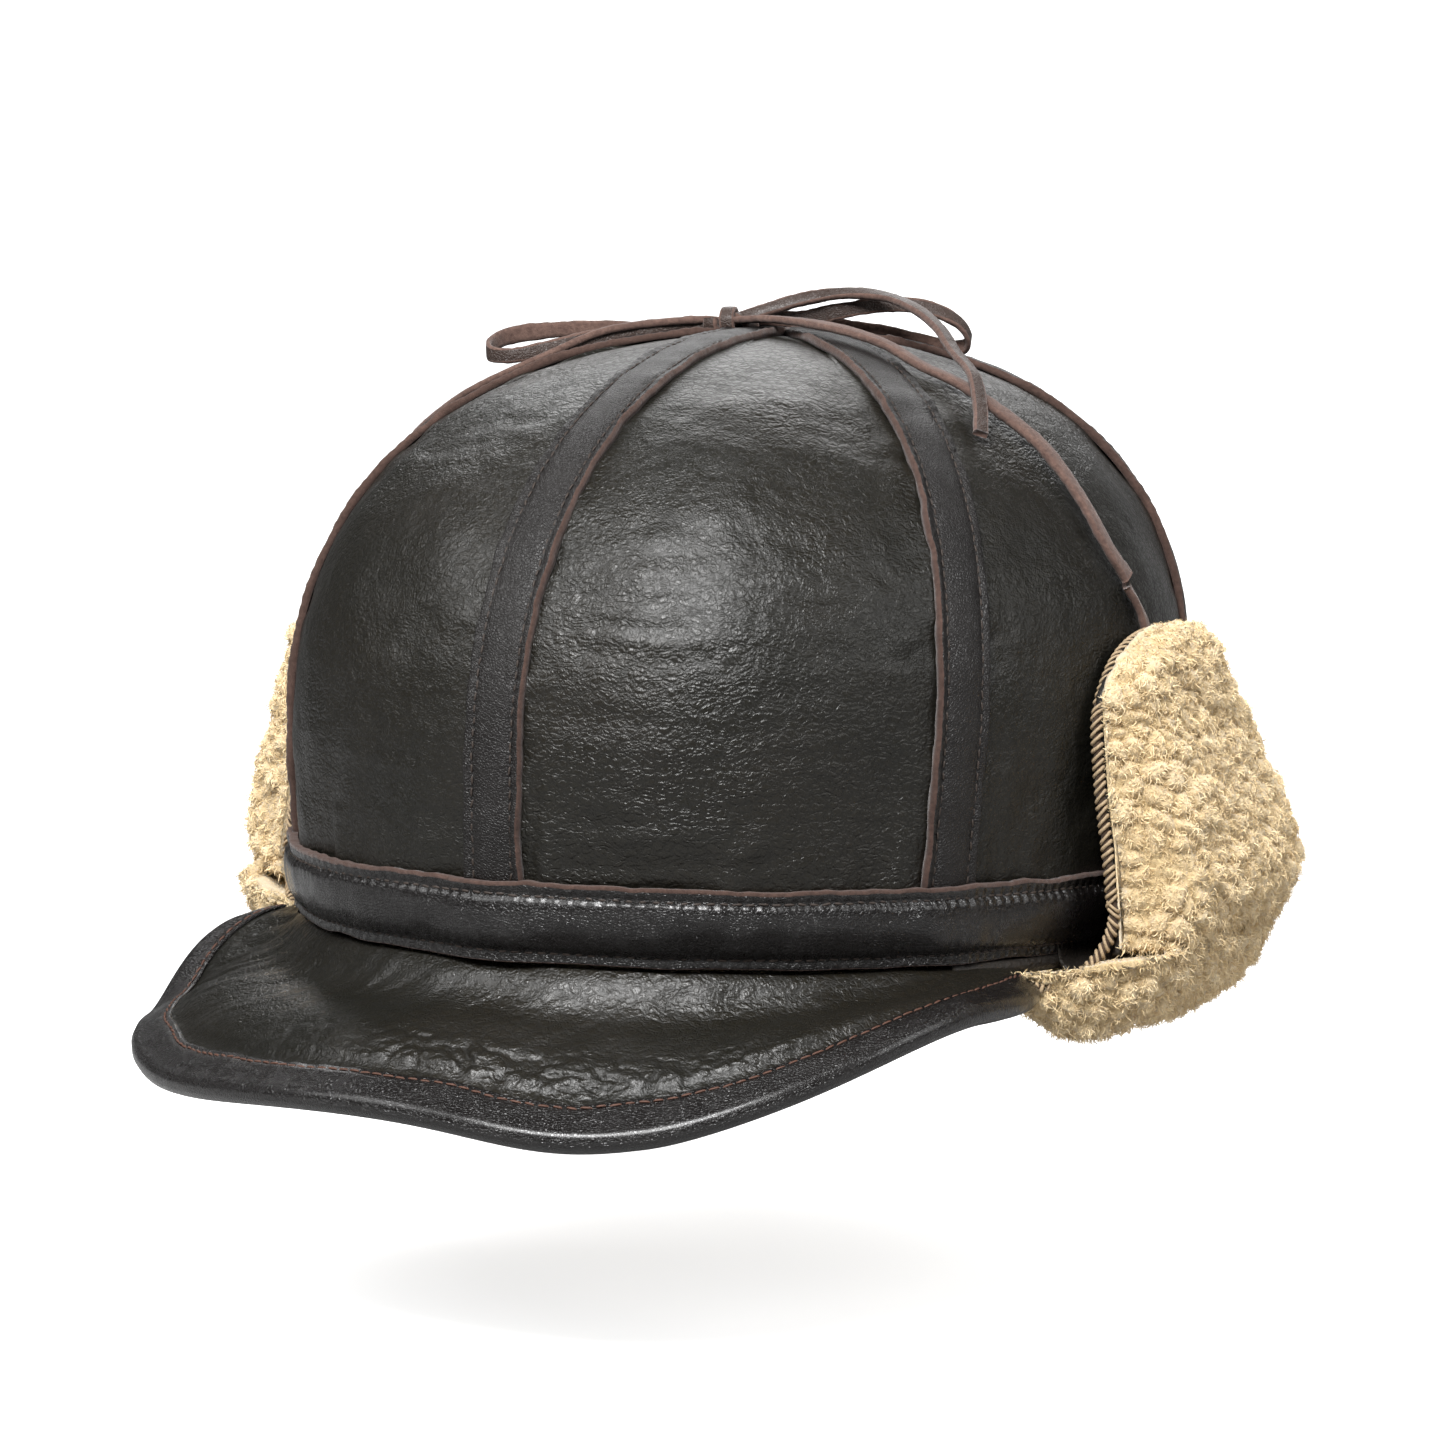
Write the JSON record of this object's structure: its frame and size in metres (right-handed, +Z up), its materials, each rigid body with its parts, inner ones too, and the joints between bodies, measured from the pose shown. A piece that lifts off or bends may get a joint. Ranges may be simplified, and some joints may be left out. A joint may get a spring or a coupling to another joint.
{
  "type": "trapper hat",
  "caption": "Shearling trapper hat in dark leather with a soft bill, folded-up wool ear flaps and laces tied in a bow on top.",
  "frame": {"origin": "bottom centre of the hat's bounding box; the centre of the head opening is 7.51 mm behind it and 35.94 mm above it, on the plane of the rim", "axes": "+Z up through the crown, -Y toward the bill, +X to the wearer's left"},
  "size_m": [0.262, 0.3054, 0.1846],
  "materials": {
    "olive_black_leather": "grained, soft gloss",
    "brown_black_leather": "smooth, satin",
    "dark_hide": "matt",
    "cream_wool": "curly wool pile",
    "tan_overcast_edge": "raw edge with thread",
    "lace_leather": "matt thong",
    "stiffener_board": "plain board"
  },
  "bodies": {
    "hat": {"crown_gore_front_left": "olive_black_leather", "crown_wool_front_left": "cream_wool", "crown_gore_front_right": "olive_black_leather", "crown_wool_front_right": "cream_wool", "crown_gore_side_left": "olive_black_leather", "crown_wool_side_left": "cream_wool", "crown_gore_side_right": "olive_black_leather", "crown_wool_side_right": "cream_wool", "crown_gore_rear_left": "olive_black_leather", "crown_wool_rear_left": "cream_wool", "crown_gore_rear_right": "olive_black_leather", "crown_wool_rear_right": "cream_wool", "seam_tape_centre": "brown_black_leather", "seam_tape_front_left": "brown_black_leather", "seam_tape_front_right": "brown_black_leather", "seam_tape_rear_left": "brown_black_leather", "seam_tape_rear_right": "brown_black_leather", "hat_band": "brown_black_leather", "bill_top_leather": "olive_black_leather", "bill_stiffener": "stiffener_board", "bill_under_leather": "dark_hide", "bill_edge_binding": "brown_black_leather", "rear_cuff_hide": "dark_hide", "rear_cuff_wool": "cream_wool", "rear_cuff_overcast_edge": "tan_overcast_edge", "bow_knot": "lace_leather", "bow_loop_left": "lace_leather", "bow_loop_right": "lace_leather", "bow_tail_left": "lace_leather", "bow_tail_right": "lace_leather", "lace_run_left": "lace_leather", "lace_run_right": "lace_leather"},
    "ear_flap_left": {"ear_flap_left_hide": "dark_hide", "ear_flap_left_wool": "cream_wool", "ear_flap_left_overcast_edge": "tan_overcast_edge", "ear_flap_left_lace_end": "lace_leather"},
    "ear_flap_right": {"ear_flap_right_hide": "dark_hide", "ear_flap_right_wool": "cream_wool", "ear_flap_right_overcast_edge": "tan_overcast_edge", "ear_flap_right_lace_end": "lace_leather"}
  },
  "joints": [
    {"name": "ear_flap_left_fold", "type": "hinge", "parent": "hat", "child": "ear_flap_left", "pos_m": [0.09937, 0.0313, 0.03394], "axis": [-0.1754, 0.9845, 0], "range_deg": [0, 165]},
    {"name": "ear_flap_right_fold", "type": "hinge", "parent": "hat", "child": "ear_flap_right", "pos_m": [-0.09937, 0.0313, 0.03394], "axis": [0.1754, 0.9845, 0], "range_deg": [-165, 0]}
  ]
}
